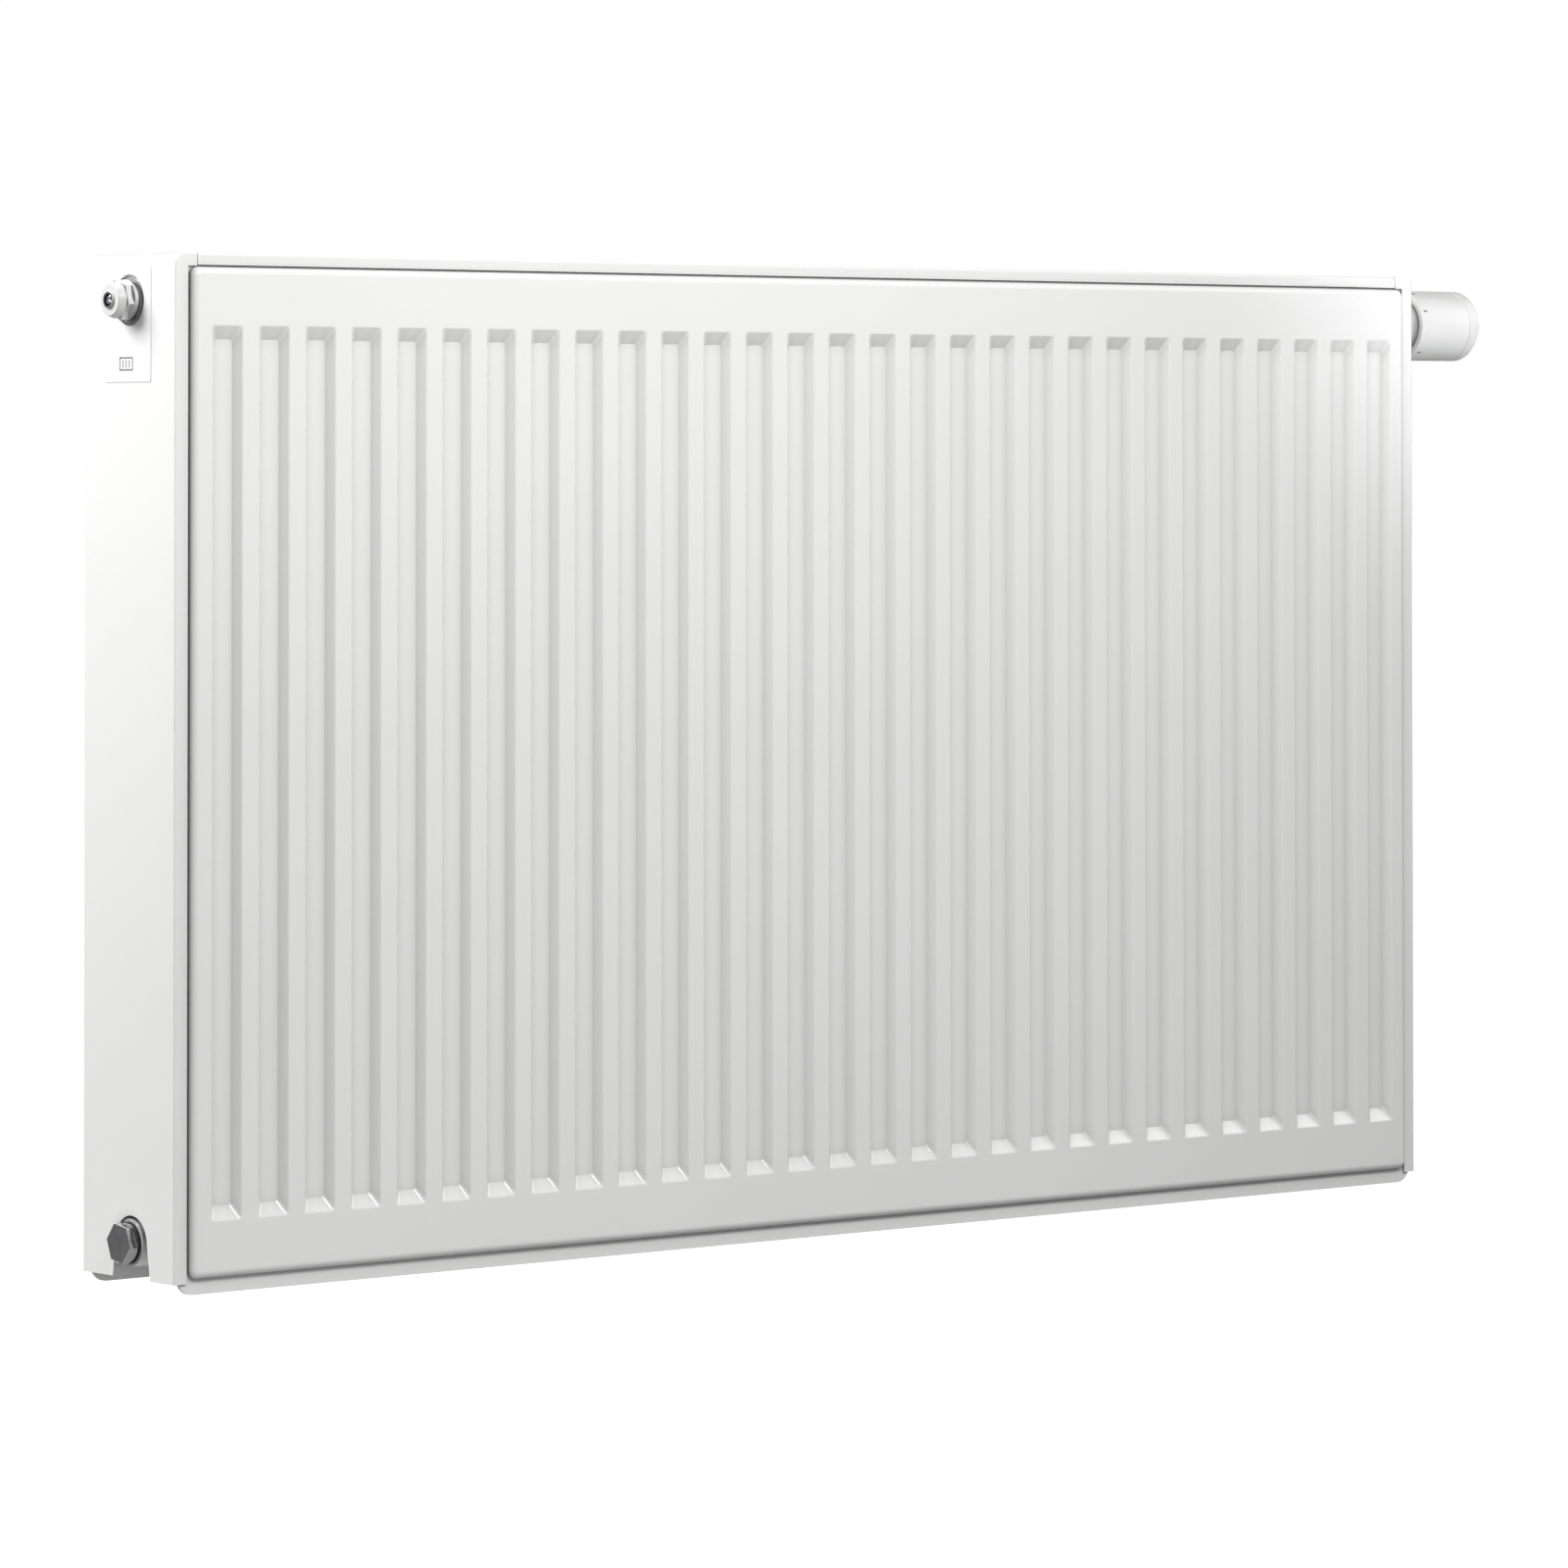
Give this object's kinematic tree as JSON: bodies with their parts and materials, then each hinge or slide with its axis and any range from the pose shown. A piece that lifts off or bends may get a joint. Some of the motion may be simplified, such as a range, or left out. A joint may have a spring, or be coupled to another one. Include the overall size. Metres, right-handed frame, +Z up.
{
  "type": "panel radiator with thermostatic valve",
  "caption": "Wall-hung steel panel radiator with fluted front, side covers, top grille, air vent, and a built-in thermostatic valve with a round white handle.",
  "frame": {"origin": "on the wall face of the lower left hanging lug, on its centre line, 10 mm above its lower edge and 45 mm above the bottom edge of the radiator", "axes": "+X along the length towards the thermostatic valve, +Y into the wall, +Z up; the fluted front faces -Y"},
  "size_m": [1.1034, 0.112, 0.6],
  "materials": {
    "white_enamel": "gloss",
    "plated_steel": "polished",
    "spring_steel": "satin",
    "brass": "satin",
    "black_rubber": "matte",
    "white_plastic": "satin",
    "grey_plastic": "matte",
    "label_film": "gloss"
  },
  "bodies": {
    "radiator": {"front_panel_outer_sheet": "white_enamel", "front_panel_inner_sheet": "white_enamel", "rear_panel_inner_sheet": "white_enamel", "rear_panel_outer_sheet": "white_enamel", "front_convector": "white_enamel", "rear_convector": "white_enamel", "top_left_tee": "white_enamel", "bottom_left_tee": "white_enamel", "return_tee": "white_enamel", "valve_housing": "white_enamel", "riser_pipe": "white_enamel", "supply_bracket": "white_enamel", "hanging_lugs": "white_enamel", "left_side_cover": "white_enamel", "right_side_cover": "white_enamel", "supply_nipple": "plated_steel", "return_nipple": "plated_steel", "vent_body": "plated_steel", "left_plug": "plated_steel", "right_plug": "plated_steel", "head_union_nut": "plated_steel", "valve_return_spring": "spring_steel", "valve_insert_body": "brass", "valve_gland": "brass", "vent_seal": "black_rubber", "left_plug_seal": "black_rubber", "right_plug_seal": "black_rubber", "valve_insert_seal": "black_rubber", "head_base": "grey_plastic", "label_plate": "label_film"},
    "handle": {"head_sleeve": "white_plastic", "head_end_cap": "white_plastic"},
    "sensor": {"sensor_carrier": "grey_plastic", "sensor_capsule": "brass", "push_rod": "grey_plastic", "overload_spring": "spring_steel"},
    "stem": {"valve_stem": "spring_steel", "valve_disc": "black_rubber"},
    "nozzle": {"vent_nozzle": "white_plastic"},
    "vent_spindle": {"vent_screw": "spring_steel"},
    "grille": {"top_grille": "white_enamel"}
  },
  "joints": [
    {"name": "handle_turn", "type": "hinge", "parent": "radiator", "child": "handle", "pos_m": [0.932, -0.062, 0.524], "axis": [1, 0, 0], "range_deg": [-180, 150]},
    {"name": "sensor_slide", "type": "slide", "parent": "radiator", "child": "sensor", "axis": [1, 0, 0], "range_m": [-0.0015, 0.0013]},
    {"name": "stem_slide", "type": "slide", "parent": "radiator", "child": "stem", "axis": [1, 0, 0], "range_m": [-0.0015, 0.0013], "deforming": ["valve_return_spring"]},
    {"name": "vent_nozzle_turn", "type": "hinge", "parent": "radiator", "child": "nozzle", "pos_m": [-0.113, -0.062, 0.528], "axis": [-1, 0, 0], "continuous": true},
    {"name": "vent_screw_turn", "type": "hinge", "parent": "radiator", "child": "vent_spindle", "pos_m": [-0.113, -0.062, 0.528], "axis": [-1, 0, 0], "range_deg": [0, 360]},
    {"name": "grille_lift", "type": "slide", "parent": "radiator", "child": "grille", "axis": [0, 0, 1], "range_m": [0, 0.1]}
  ],
  "couplings": [
    {"joint": "sensor_slide", "follows": "handle_turn", "m_per_rad": 0.00047746},
    {"joint": "stem_slide", "follows": "handle_turn", "m_per_rad": 0.00047746}
  ]
}
